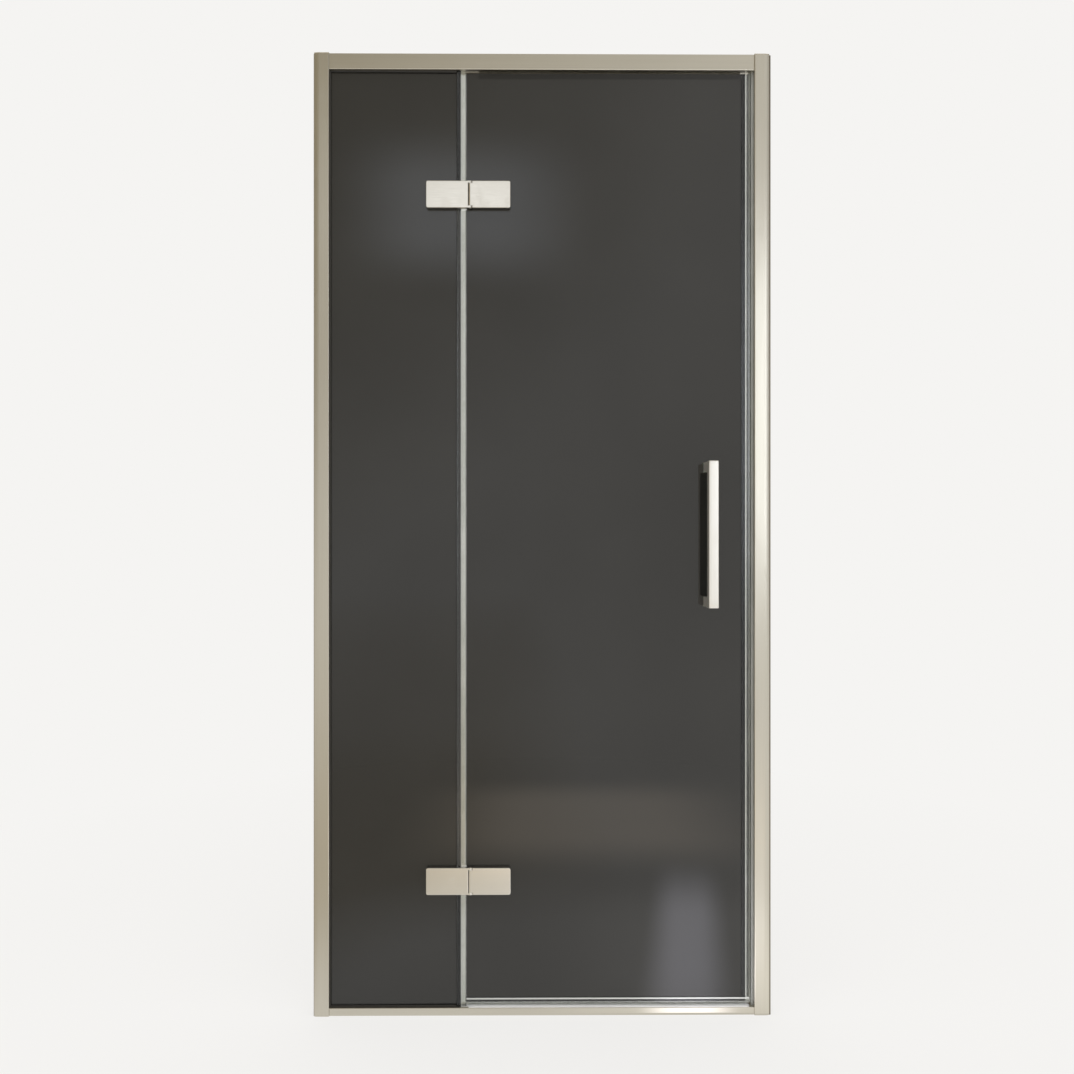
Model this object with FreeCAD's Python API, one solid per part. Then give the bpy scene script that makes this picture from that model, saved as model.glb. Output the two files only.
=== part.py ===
"""A framed shower front: a fixed glass panel on the left and one hinged glass door on the right.

Millimetres. +X is to the right, +Y goes into the shower and +Z is up. The origin is at the
middle of the underside of the bottom rail, in the middle plane of the glass. The door is
closed and opens outwards, towards -Y, about the pins of its two hinges.
"""
import FreeCAD, Part
import math
import os

Vector = FreeCAD.Vector

# ---- overall
overall_width = 950.0
overall_height = 2000.0
profile_wall = 1.6          # wall of every aluminium profile
glass_thickness = 8.0
glass_arris = 0.6           # small flat ground on the edges of the glass

# ---- wall channels and stiles
stile_width = 31.0
stile_depth = 32.0
stile_roll_width = 10.0     # the front face rolls back over this width, towards the wall
stile_roll_drop = 1.5
stile_leg_tip = 1.0         # thickness of the front leg at the wall
stile_outer_radius = 0.8
stile_inner_radius = 1.8
glass_pocket_width = 14.0
glass_pocket_depth = 11.0
stile_cap_thickness = 1.5
stile_cap_plug = 4.0
left_channel_show = 1.0     # strip of wall channel seen beyond each stile
right_channel_show = 3.0
channel_flange = 15.0
channel_clearance = 0.3
channel_top_gap = 0.5
fixing_hole_radius = 2.75
outer_fixing_from_end = 100.0
inner_fixing_spacing = 600.0
stile_screw_from_end = 250.0
stile_screw_from_edge = 7.0

# ---- rails
rail_setback = 3.0          # rails stand this far behind the stile faces
top_rail_height = 33.0
top_pocket_depth = 12.0
bottom_rail_height = 15.5
bottom_pocket_floor = 4.0
screw_port_radius = 3.0
top_port_from_top = 10.5
bottom_port_height = 7.75
rail_edge_radius = 1.4

# ---- screws
small_screw_radius = 2.0
small_screw_clearance = 0.2
small_head_radius = 3.4
small_head_height = 2.2
corner_screw_grip = 20.0    # length of a corner screw inside its rail
stile_screw_length = 9.0
screw_cap_radius = 5.5
screw_cap_height = 4.0
screw_cap_wall = 1.2

# ---- fixed panel
panel_view_width = 272.5    # from the left stile to the free edge of the glass
panel_side_gap = 2.0        # packers fill it between glass and pocket floor
panel_top_gap = 2.0
gasket_seat = 8.0           # length of gasket inside the pocket
gasket_lip = 2.5            # length of gasket that shows
setting_block_length = 80.0
setting_block_height = 3.0
setting_block_inset = 45.0
packer_length = 60.0
packer_from_end = 290.0     # from each end of the stile to the packer's far end

# ---- clear seals
seal_skin = 1.2
seal_leg = 8.0
panel_seal_width = 11.5
panel_seal_radius = 3.0
closing_seal_width = 11.5
closing_seal_depth = 9.0
magnet_width = 5.0
bottom_seal_web_drop = 5.4  # lip under the glass
bottom_fin_reach = 6.0

# ---- door leaf
door_edge_gap = 0.4         # leaf to panel seal
door_top_gap = 3.5
door_bottom_gap = 8.5       # glass to bottom rail
closing_gap = 0.6           # closing seal to jamb profile
jamb_show = 4.7             # jamb profile seen beyond the right stile
jamb_nose_depth = 10.0
jamb_stop_thickness = 1.5
jamb_stop_overlap = 2.5
stop_clearance = 0.5

# ---- stop over the leaf
stop_body_height = 8.0
stop_drop = 12.5
stop_lip_thickness = 1.6
stop_seal_height = 6.0
stop_seal_gap = 0.3

# ---- water bar on the bottom rail
water_bar_thickness = 1.1
water_bar_setback = 1.4
water_bar_stem = 7.0
water_bar_cap_length = 12.0
water_bar_cap_extra = 0.2

# ---- hinges
upper_hinge_from_top = 293.0
lower_hinge_height = 279.0
hinge_axis_from_edge = 8.6  # from the leaf's edge to the pin
hinge_plate_width = 87.5
hinge_plate_height = 56.0
hinge_plate_thickness = 10.0
hinge_back_thickness = 8.0
hinge_corner_radius = 4.0
hinge_edge_radius = 1.0
hinge_gasket = 1.0
hinge_gasket_inset = 1.5
hinge_nose_radius = 4.0
hinge_split = 0.5
hinge_lug_height = 4.0
hinge_pin_radius = 2.0
hinge_pin_recess = 0.5
pin_clearance = 0.03
bush_wall = 0.8
bush_flange_radius = 3.7
bush_flange_height = 0.7
bush_end_play = 0.1
bush_length = 15.0
lug_relief = 0.4
clamp_hole_from_end = 38.0
clamp_hole_spacing = 28.0
clamp_glass_hole_radius = 7.0
clamp_screw_radius = 3.0
clamp_screw_clearance = 0.2
clamp_head_radius = 6.0
clamp_head_height = 3.3
clamp_screw_bite = 7.0
clamp_socket_across = 4.0   # hexagon socket, across its flats
clamp_socket_depth = 2.4
sleeve_clearance = 0.1

# ---- handles
handle_length = 300.0
handle_width = 20.0
handle_reach = 60.0         # from the glass to the face of the grip
handle_radius = 1.5
handle_from_edge = 77.2     # from the leaf's closing edge to the middle of the grip
handle_height = 1000.0
handle_washer = 1.0
handle_stud_radius = 4.0
handle_stud_bite = 14.0
handle_glass_hole_radius = 6.0
grub_radius = 2.5
grub_length = 5.0

# ---- places worked out from the sizes above
half_glass = glass_thickness / 2
half_depth = stile_depth / 2
half_rail = half_depth - rail_setback
half_pocket = glass_pocket_width / 2
stile_top = overall_height - stile_cap_thickness
rail_top_z = overall_height
rail_bottom_z = rail_top_z - top_rail_height
sill_z = bottom_rail_height
left_wall = -overall_width / 2
right_wall = overall_width / 2
left_outer = left_wall + left_channel_show
left_inner = left_outer + stile_width
right_outer = right_wall - right_channel_show
right_inner = right_outer - stile_width
panel_edge = left_inner + panel_view_width
door_left = panel_edge + panel_seal_width + door_edge_gap
jamb_face = right_inner - jamb_show
closing_face = jamb_face - closing_gap
door_right = closing_face - closing_seal_width
door_top = rail_bottom_z - door_top_gap
door_bottom = sill_z + door_bottom_gap
jamb_stop_x = closing_face - jamb_stop_overlap
axis_x = door_left + hinge_axis_from_edge
hinge_face = -half_glass - hinge_gasket - hinge_plate_thickness
axis_y = hinge_face + hinge_nose_radius
hinge_back = -half_glass - hinge_gasket
split_x = axis_x - hinge_nose_radius - hinge_split
panel_plate_end = split_x - hinge_plate_width
door_plate_end = axis_x - hinge_nose_radius + hinge_plate_width
hinge_heights = {
    "lower": lower_hinge_height,
    "upper": overall_height - upper_hinge_from_top,
}
half_hinge = hinge_plate_height / 2
web_inner = stile_width - glass_pocket_depth
web_outer = web_inner - profile_wall
back_leg_inside = half_depth - profile_wall
front_leg_inside = half_depth - stile_roll_drop - stile_leg_tip
port_y = (half_pocket + half_rail) / 2
sweep_radius = math.hypot(hinge_axis_from_edge, half_glass - axis_y)
middle_z = overall_height / 2
outer_fixing_spacing = overall_height - 2 * outer_fixing_from_end
stile_screw_heights = (
    stile_screw_from_end,
    middle_z,
    overall_height - stile_screw_from_end,
)
handle_x = door_right - handle_from_edge
handle_foot = half_glass + handle_washer
post_z = handle_length / 2 - handle_width / 2
clamp_z = clamp_hole_spacing / 2


# ---- small helpers
def block(x0, x1, y0, y1, z0, z1):
    return Part.makeBox(x1 - x0, y1 - y0, z1 - z0, Vector(x0, y0, z0))


def rod_x(radius, x0, x1, y, z):
    return Part.makeCylinder(radius, x1 - x0, Vector(x0, y, z), Vector(1, 0, 0))


def rod_y(radius, x, y0, y1, z):
    return Part.makeCylinder(radius, y1 - y0, Vector(x, y0, z), Vector(0, 1, 0))


def rod_z(radius, x, y, z0, z1):
    return Part.makeCylinder(radius, z1 - z0, Vector(x, y, z0), Vector(0, 0, 1))


def cut_all(shape, tools):
    for tool in tools:
        shape = shape.cut(tool)
    return shape


def fuse_all(shape, others):
    for other in others:
        shape = shape.fuse(other)
    return shape.removeSplitter()


def extrude_x(points, x0, x1):
    """A prism along X from a closed outline of (y, z) points."""
    corners = [Vector(x0, y, z) for y, z in points]
    wire = Part.makePolygon(corners + corners[:1])
    return Part.Face(wire).extrude(Vector(x1 - x0, 0, 0))


def hexagon_y(across, x, y0, y1, z):
    """A hexagonal prism along Y, measured across its flats."""
    radius = across / math.sqrt(3)
    angles = [math.radians(60 * step) for step in range(7)]
    corners = [Vector(x + radius * math.cos(a), y0, z + radius * math.sin(a)) for a in angles]
    return Part.Face(Part.makePolygon(corners)).extrude(Vector(0, y1 - y0, 0))


def straight_edges(shape, axis, where):
    """The straight edges along one axis whose middle passes the test."""
    found = []
    for edge in shape.Edges:
        if len(edge.Vertexes) != 2:
            continue
        run = edge.Vertexes[1].Point - edge.Vertexes[0].Point
        if abs(run.dot(axis)) > 0.999 * run.Length and where(edge.CenterOfMass):
            found.append(edge)
    return found


def mirror_x(shape):
    return shape.mirror(Vector(0, 0, 0), Vector(1, 0, 0))


def mirror_y(shape):
    return shape.mirror(Vector(0, 0, 0), Vector(0, 1, 0))


def save(name, *solids):
    """One solid, or a group of alike solids, in its own file."""
    shape = solids[0] if len(solids) == 1 else Part.makeCompound(list(solids))
    shape.exportStep("parts/" + name + ".step")
    print(name, len(shape.Solids), "volume", round(shape.Volume, 1))


# ---- frame
def corner_heights():
    return (bottom_port_height, rail_top_z - top_port_from_top)


def stile_outline(z):
    """The stile seen from above: its front face rolls back in an arc towards the wall."""
    radius = (stile_roll_width**2 + stile_roll_drop**2) / (2 * stile_roll_drop)
    halfway_drop = radius - math.sqrt(radius**2 - (stile_roll_width / 2) ** 2)
    wall_edge = Vector(0, stile_roll_drop - half_depth, z)
    halfway = Vector(stile_roll_width / 2, halfway_drop - half_depth, z)
    level = Vector(stile_roll_width, -half_depth, z)
    sides = Part.makePolygon([
        level,
        Vector(stile_width, -half_depth, z),
        Vector(stile_width, half_depth, z),
        Vector(0, half_depth, z),
        wall_edge,
    ])
    roll = Part.Arc(wall_edge, halfway, level).toShape()
    return Part.Face(Part.Wire([roll] + sides.Edges))


def make_stile():
    """A stile with its wall side at x = 0 and its glass side at x = stile_width."""
    body = stile_outline(0).extrude(Vector(0, 0, stile_top))
    up = Vector(0, 0, 1)
    body = body.makeFillet(stile_outer_radius, straight_edges(body, up, lambda p: p.x < 1))
    body = body.makeFillet(
        stile_inner_radius, straight_edges(body, up, lambda p: p.x > stile_width - 0.1)
    )
    chamber_low = half_pocket + profile_wall
    chamber_end = stile_width - profile_wall
    tools = [
        block(-1, web_outer, -front_leg_inside, back_leg_inside, -1, stile_top + 1),
        block(web_inner, stile_width + 1, -half_pocket, half_pocket, -1, stile_top + 1),
        block(web_inner, chamber_end, -back_leg_inside, -chamber_low, -1, stile_top + 1),
        block(web_inner, chamber_end, chamber_low, back_leg_inside, -1, stile_top + 1),
    ]
    hole = small_screw_radius + small_screw_clearance
    for z in corner_heights():
        for y in (-port_y, port_y):
            tools.append(rod_x(hole, web_outer - 1, stile_width + 1, y, z))
    for z in stile_screw_heights:
        screw_x = stile_screw_from_edge
        tools.append(rod_y(hole, screw_x, back_leg_inside - 1, half_depth + 1, z))
    return cut_all(body, tools)


def make_wall_channel(show):
    """The U that is screwed to the wall, in the same local frame as its stile."""
    front = channel_clearance - front_leg_inside
    back = back_leg_inside - channel_clearance
    top = stile_top - channel_top_gap
    tip = channel_flange - show
    wall = profile_wall
    body = block(-show, tip, front, back, 0, top)
    tools = [block(wall - show, tip + 1, front + wall, back - wall, -1, top + 1)]
    for spacing in (outer_fixing_spacing, inner_fixing_spacing):
        for z in (middle_z - spacing / 2, middle_z + spacing / 2):
            tools.append(rod_x(fixing_hole_radius, -show - 1, wall - show + 1, 0, z))
    for z in stile_screw_heights:
        screw_x = stile_screw_from_edge
        tools.append(rod_y(small_screw_radius, screw_x, back - wall - 1, back + 1, z))
    return cut_all(body, tools)


def make_stile_cap():
    """A plate on the stile's end, with a plug that fits between the channel's flanges."""
    plate = stile_outline(stile_top).extrude(Vector(0, 0, stile_cap_thickness))
    inset = profile_wall + 2 * channel_clearance
    plug = block(
        profile_wall,
        web_outer,
        inset - front_leg_inside,
        back_leg_inside - inset,
        stile_top - stile_cap_plug,
        stile_top,
    )
    return fuse_all(plate, [plug])


def make_corner_screw(y, z):
    head = rod_x(small_head_radius, web_outer - small_head_height, web_outer, y, z)
    shank = rod_x(small_screw_radius, web_outer, stile_width + corner_screw_grip, y, z)
    return fuse_all(head, [shank])


def make_stile_screw(z):
    x = stile_screw_from_edge
    head = rod_y(small_head_radius, x, half_depth, half_depth + small_head_height, z)
    shank = rod_y(small_screw_radius, x, half_depth - stile_screw_length, half_depth, z)
    return fuse_all(head, [shank])


def make_screw_cap(z):
    x = stile_screw_from_edge
    top = half_depth + screw_cap_height
    dome = rod_y(screw_cap_radius, x, half_depth, top, z)
    rim = [e for e in dome.Edges if e.CenterOfMass.y > top - 0.1 and len(e.Vertexes) == 1]
    dome = dome.makeFillet(screw_cap_wall, rim)
    hollow = rod_y(
        screw_cap_radius - screw_cap_wall, x, half_depth - 1, half_depth + small_head_height, z
    )
    return dome.cut(hollow)


def build_stiles():
    """Both wall channels, stiles, caps and screws: the right side is the left side mirrored."""
    caps = []
    corner_screws = []
    stile_screws = []
    for side, outer, show in (
        ("left", left_outer, left_channel_show),
        ("right", right_outer, right_channel_show),
    ):
        def place(shape):
            placed = shape if side == "left" else mirror_x(shape)
            placed.translate(Vector(outer, 0, 0))
            return placed

        save("wall_channel_" + side, place(make_wall_channel(show)))
        save("stile_" + side, place(make_stile()))
        save("stile_cap_" + side, place(make_stile_cap()))
        for z in corner_heights():
            for y in (-port_y, port_y):
                corner_screws.append(place(make_corner_screw(y, z)))
        for z in stile_screw_heights:
            stile_screws.append(place(make_stile_screw(z)))
            caps.append(place(make_screw_cap(z)))
    save("corner_screws", *corner_screws)
    save("stile_screws", *stile_screws)
    save("stile_screw_caps", *caps)


def rail_holes(z):
    """Holes in both ends of a rail that the corner screws cut their thread in."""
    depth = corner_screw_grip + 1
    holes = []
    for y in (-port_y, port_y):
        holes.append(rod_x(small_screw_radius, left_inner - 1, left_inner + depth, y, z))
        holes.append(rod_x(small_screw_radius, right_inner - depth, right_inner + 1, y, z))
    return holes


def make_top_rail():
    body = block(left_inner, right_inner, -half_rail, half_rail, rail_bottom_z, rail_top_z)
    along = Vector(1, 0, 0)
    body = body.makeFillet(rail_edge_radius, straight_edges(body, along, lambda p: True))
    inside = half_rail - profile_wall
    pocket_top = rail_bottom_z + top_pocket_depth
    x0 = left_inner - 1
    x1 = right_inner + 1
    chamber_floor = pocket_top + profile_wall
    chamber = block(x0, x1, -inside, inside, chamber_floor, rail_top_z - profile_wall)
    port_z = rail_top_z - top_port_from_top
    for y in (-port_y, port_y):
        chamber = chamber.cut(rod_x(screw_port_radius, x0, x1, y, port_z))
    tools = [
        block(x0, x1, -half_pocket, half_pocket, rail_bottom_z - 1, pocket_top),
        chamber,
    ]
    return cut_all(body, tools + rail_holes(port_z))


def make_bottom_rail():
    body = block(left_inner, right_inner, -half_rail, half_rail, 0, sill_z)
    along = Vector(1, 0, 0)
    upper = straight_edges(body, along, lambda p: p.z > sill_z - 0.1)
    body = body.makeFillet(rail_edge_radius, upper)
    pocket = block(
        left_inner - 1, right_inner + 1, -half_pocket, half_pocket, bottom_pocket_floor, sill_z + 1
    )
    return cut_all(body, [pocket] + rail_holes(bottom_port_height))


# ---- glass
def make_pane(x0, x1, z0, z1, holes):
    """A pane with ground edges and round holes, given as (x, z, radius)."""
    pane = block(x0, x1, -half_glass, half_glass, z0, z1)
    rim = [e for e in pane.Edges if abs(abs(e.CenterOfMass.y) - half_glass) < 0.01]
    pane = pane.makeChamfer(glass_arris, rim)
    cuts = [rod_y(r, x, -half_glass - 1, half_glass + 1, z) for x, z, r in holes]
    return cut_all(pane, cuts)


def clamp_points(x):
    """Where the clamp screws of both hinges go through, as (x, z)."""
    points = []
    for middle in hinge_heights.values():
        points += [(x, middle - clamp_z), (x, middle + clamp_z)]
    return points


def handle_points():
    return [(handle_x, handle_height - post_z), (handle_x, handle_height + post_z)]


panel_clamp_x = panel_plate_end + clamp_hole_from_end
door_clamp_x = door_plate_end - clamp_hole_from_end


def build_panes():
    glass_left = left_inner - glass_pocket_depth + panel_side_gap
    glass_top = rail_bottom_z + top_pocket_depth - panel_top_gap
    glass_bottom = bottom_pocket_floor + setting_block_height
    holes = [(x, z, clamp_glass_hole_radius) for x, z in clamp_points(panel_clamp_x)]
    save("fixed_glass", make_pane(glass_left, panel_edge, glass_bottom, glass_top, holes))
    holes = [(x, z, clamp_glass_hole_radius) for x, z in clamp_points(door_clamp_x)]
    holes += [(x, z, handle_glass_hole_radius) for x, z in handle_points()]
    save("door_glass", make_pane(door_left, door_right, door_bottom, door_top, holes))

    blocks = []
    for x in (left_inner + setting_block_inset, panel_edge - setting_block_inset):
        half = setting_block_length / 2
        blocks.append(
            block(x - half, x + half, -half_pocket, half_pocket, bottom_pocket_floor, glass_bottom)
        )
    save("setting_blocks", *blocks)
    pocket_floor = left_inner - glass_pocket_depth
    packers = []
    for z0 in (packer_from_end - packer_length, overall_height - packer_from_end):
        z1 = z0 + packer_length
        packers.append(block(pocket_floor, glass_left, -half_pocket, half_pocket, z0, z1))
    save("edge_packers", *packers)


def make_gasket():
    """The front gasket: one strip up the stile and along both rails, open at the free edge."""
    end = panel_edge - seal_leg - door_edge_gap
    strip = block(
        left_inner - gasket_seat,
        end,
        -half_pocket,
        -half_glass,
        sill_z - gasket_seat,
        rail_bottom_z + gasket_seat,
    )
    window = block(
        left_inner + gasket_lip,
        end + 1,
        -half_pocket - 1,
        -half_glass + 1,
        sill_z + gasket_lip,
        rail_bottom_z - gasket_lip,
    )
    return strip.cut(window)


# ---- seals on the panel, over and beside the leaf
def make_panel_seal(z0, z1):
    """Clip on the free edge of the fixed glass, with a hollow bulb that the leaf closes on."""
    outer = half_glass + seal_skin
    clip = block(panel_edge - seal_leg, panel_edge, -outer, outer, z0, z1)
    clip = clip.cut(block(panel_edge - seal_leg - 1, panel_edge, -half_glass, half_glass, z0, z1))
    bulb = block(panel_edge, panel_edge + panel_seal_width, -outer, outer, z0, z1)
    up = Vector(0, 0, 1)
    nose = straight_edges(bulb, up, lambda p: p.x > panel_edge + panel_seal_width - 0.1)
    bulb = bulb.makeFillet(panel_seal_radius, nose)
    hollow = block(
        panel_edge + seal_skin,
        panel_edge + panel_seal_width - panel_seal_radius,
        -half_glass,
        half_glass,
        z0 - 1,
        z1 + 1,
    )
    return fuse_all(clip, [bulb]).cut(hollow)


def build_panel_seals():
    gap = door_edge_gap
    lower = hinge_heights["lower"]
    upper = hinge_heights["upper"]
    stretches = {
        "lower": (sill_z, lower - half_hinge - gap),
        "middle": (lower + half_hinge + gap, upper - half_hinge - gap),
        "upper": (upper + half_hinge + gap, rail_bottom_z),
    }
    for name, (z0, z1) in stretches.items():
        save("panel_seal_" + name, make_panel_seal(z0, z1))


def build_stop():
    """The profile that fills the top rail's pocket over the leaf, with its hanging stop."""
    top = rail_bottom_z + stop_body_height
    body = block(panel_edge + 1, right_inner, -half_pocket, half_pocket, rail_bottom_z, top)
    hollow = block(
        panel_edge,
        right_inner + 1,
        profile_wall - half_pocket,
        half_pocket - profile_wall,
        rail_bottom_z + profile_wall,
        top - profile_wall,
    )
    lip_x0 = axis_x + sweep_radius
    lip_x1 = door_right - seal_leg - stop_clearance
    lip_low = rail_bottom_z - stop_drop
    lip = block(lip_x0, lip_x1, half_pocket - stop_lip_thickness, half_pocket, lip_low, top)
    save("top_stop_profile", fuse_all(body, [lip]).cut(hollow))
    seal = block(
        lip_x0,
        lip_x1,
        half_glass + stop_seal_gap,
        half_pocket - stop_lip_thickness,
        lip_low,
        lip_low + stop_seal_height,
    )
    save("top_stop_seal", seal)


def build_jamb():
    """The profile in the right stile that the leaf's magnet meets, with a stop behind."""
    seat = right_inner + glass_pocket_depth
    half_nose = jamb_nose_depth / 2
    stop_y = half_nose + stop_clearance + jamb_stop_thickness
    seated = block(right_inner, seat, -half_pocket, half_pocket, sill_z, rail_bottom_z)
    nose = block(jamb_face, right_inner, -half_nose, half_nose, sill_z, rail_bottom_z)
    stop = block(
        jamb_stop_x,
        right_inner,
        stop_y - jamb_stop_thickness,
        stop_y,
        sill_z,
        rail_bottom_z,
    )
    bridge = block(
        right_inner - seal_skin, right_inner, -half_nose, stop_y, sill_z, rail_bottom_z
    )
    body = fuse_all(seated, [nose, stop, bridge])
    magnet_x0 = jamb_face + seal_skin
    magnet_x1 = magnet_x0 + magnet_width
    half_magnet = half_nose - seal_skin
    magnet = block(magnet_x0, magnet_x1, -half_magnet, half_magnet, sill_z, rail_bottom_z)
    seat_hollow = block(
        magnet_x1 + seal_skin, seat - seal_skin, -half_magnet, half_magnet, sill_z, rail_bottom_z
    )
    save("jamb_profile", cut_all(body, [magnet, seat_hollow]))
    save("jamb_magnet", magnet)


def build_water_bar():
    """The flat bar clipped into the bottom rail under the leaf, with a cap on each end."""
    x0 = split_x
    x1 = jamb_stop_x - jamb_stop_thickness
    half = half_rail - water_bar_setback
    top = sill_z + water_bar_thickness
    length = water_bar_cap_length
    stem = block(panel_edge + 1, x1, -half_pocket, half_pocket, sill_z - water_bar_stem, sill_z)
    plate = block(x0 + length, x1 - length, -half, half, sill_z, top)
    save("water_bar", fuse_all(stem, [plate]))
    caps = []
    for start in (x0, x1 - length):
        caps.append(block(start, start + length, -half, half, sill_z, top + water_bar_cap_extra))
    save("water_bar_caps", *caps)


def build_frame():
    build_stiles()
    save("top_rail", make_top_rail())
    save("bottom_rail", make_bottom_rail())
    save("glazing_gasket_front", make_gasket())
    save("glazing_gasket_back", mirror_y(make_gasket()))
    build_panel_seals()
    build_stop()
    build_jamb()
    build_water_bar()


# ---- hinges: each is modelled about its own middle height and then lifted
def at_height(shape, z):
    moved = shape.copy()
    moved.translate(Vector(0, 0, z))
    return moved


def round_plate(plate, end_x, face_y):
    """Round the two corners at a plate's outer end, then the rim of its outer face there."""
    across = Vector(0, 1, 0)
    corners = straight_edges(plate, across, lambda p: abs(p.x - end_x) < 0.1)
    plate = plate.makeFillet(hinge_corner_radius, corners)
    rim = [e for e in plate.Edges if abs(e.CenterOfMass.y - face_y) < 0.01]
    return plate.makeFillet(hinge_edge_radius, rim)


def clamp_holes(x, radius, y0, y1):
    return [rod_y(radius, x, y0, y1, z) for z in (-clamp_z, clamp_z)]


lug_inner = half_hinge - hinge_lug_height
barrel_half = lug_inner - bush_end_play - bush_flange_height
bore_radius = hinge_pin_radius + pin_clearance + bush_wall
screw_tip = hinge_back - clamp_screw_bite


def make_panel_plate():
    """The plate on the fixed glass, with a lug over and under the leaf's barrel."""
    plate = block(panel_plate_end, split_x, hinge_face, hinge_back, -half_hinge, half_hinge)
    plate = round_plate(plate, panel_plate_end, hinge_face)
    lugs = []
    for z0 in (lug_inner, -half_hinge):
        z1 = z0 + hinge_lug_height
        lugs.append(rod_z(hinge_nose_radius, axis_x, axis_y, z0, z1))
        neck_back = axis_y + hinge_nose_radius
        lugs.append(block(split_x - hinge_edge_radius, axis_x, hinge_face, neck_back, z0, z1))
    plate = fuse_all(plate, lugs)
    pin_hole = rod_z(hinge_pin_radius, axis_x, axis_y, -half_hinge - 1, half_hinge + 1)
    threads = clamp_holes(panel_clamp_x, clamp_screw_radius, screw_tip, hinge_back + 1)
    return cut_all(plate, [pin_hole] + threads)


def make_door_plate():
    """The plate on the leaf, whose edge at the split is the barrel round the pin."""
    plate = block(axis_x, door_plate_end, hinge_face, hinge_back, -half_hinge, half_hinge)
    across = Vector(0, 1, 0)
    corners = straight_edges(plate, across, lambda p: abs(p.x - door_plate_end) < 0.1)
    plate = plate.makeFillet(hinge_corner_radius, corners)
    rim = [
        e
        for e in plate.Edges
        if abs(e.CenterOfMass.y - hinge_face) < 0.01 and e.CenterOfMass.x > axis_x + 0.01
    ]
    plate = plate.makeFillet(hinge_edge_radius, rim)
    barrel = rod_z(hinge_nose_radius, axis_x, axis_y, -half_hinge, half_hinge)
    plate = fuse_all(plate, [barrel])
    reach = hinge_nose_radius + lug_relief
    tools = [rod_z(bore_radius, axis_x, axis_y, -half_hinge - 1, half_hinge + 1)]
    for z0, z1 in ((barrel_half, half_hinge + 1), (-half_hinge - 1, -barrel_half)):
        tools.append(
            block(axis_x - reach, axis_x + reach, hinge_face - 1, hinge_back + 1, z0, z1)
        )
    tools += clamp_holes(door_clamp_x, clamp_screw_radius, screw_tip, hinge_back + 1)
    return cut_all(plate, tools)


def make_back_plate(x0, x1, end_x, clamp_x):
    """The plate inside the shower, with countersunk holes for the clamp screws."""
    near = half_glass + hinge_gasket
    far = near + hinge_back_thickness
    plate = round_plate(block(x0, x1, near, far, -half_hinge, half_hinge), end_x, far)
    hole = clamp_screw_radius + clamp_screw_clearance
    sinks = [make_clamp_head(clamp_x, z) for z in (-clamp_z, clamp_z)]
    return cut_all(plate, clamp_holes(clamp_x, hole, near - 1, far + 1) + sinks)


def make_clamp_head(x, z):
    far = half_glass + hinge_gasket + hinge_back_thickness
    return Part.makeCone(
        clamp_screw_radius,
        clamp_head_radius,
        clamp_head_height,
        Vector(x, far - clamp_head_height, z),
        Vector(0, 1, 0),
    )


def make_clamp_screw(x, z):
    """A countersunk screw from inside the shower, driven by its hexagon socket."""
    head = make_clamp_head(x, z)
    far = half_glass + hinge_gasket + hinge_back_thickness
    shank = rod_y(clamp_screw_radius, x, screw_tip, far - clamp_head_height, z)
    socket = hexagon_y(clamp_socket_across, x, far - clamp_socket_depth, far + 1, z)
    return fuse_all(head, [shank]).cut(socket)


def make_sleeve(radius, bore, x, z):
    outer = rod_y(radius - sleeve_clearance, x, -half_glass, half_glass, z)
    return outer.cut(rod_y(bore, x, -half_glass - 1, half_glass + 1, z))


def make_clamp_gaskets(x0, x1, clamp_x):
    """Front and back gasket between the glass and the two plates that clamp it."""
    height = half_hinge - hinge_gasket_inset
    hole = clamp_screw_radius + clamp_screw_clearance
    gaskets = []
    for near in (-half_glass - hinge_gasket, half_glass):
        far = near + hinge_gasket
        sheet = block(x0, x1, near, far, -height, height)
        gaskets.append(cut_all(sheet, clamp_holes(clamp_x, hole, near - 1, far + 1)))
    return gaskets


def make_pin():
    end = half_hinge - hinge_pin_recess
    return rod_z(hinge_pin_radius, axis_x, axis_y, -end, end)


def make_bushes():
    """A flanged bush in each end of the barrel."""
    upper = fuse_all(
        rod_z(bush_flange_radius, axis_x, axis_y, barrel_half, barrel_half + bush_flange_height),
        [rod_z(bore_radius, axis_x, axis_y, barrel_half - bush_length, barrel_half)],
    )
    bore = rod_z(hinge_pin_radius + pin_clearance, axis_x, axis_y, -half_hinge, half_hinge)
    upper = upper.cut(bore)
    lower = upper.mirror(Vector(0, 0, 0), Vector(0, 0, 1))
    return [upper, lower]


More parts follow.
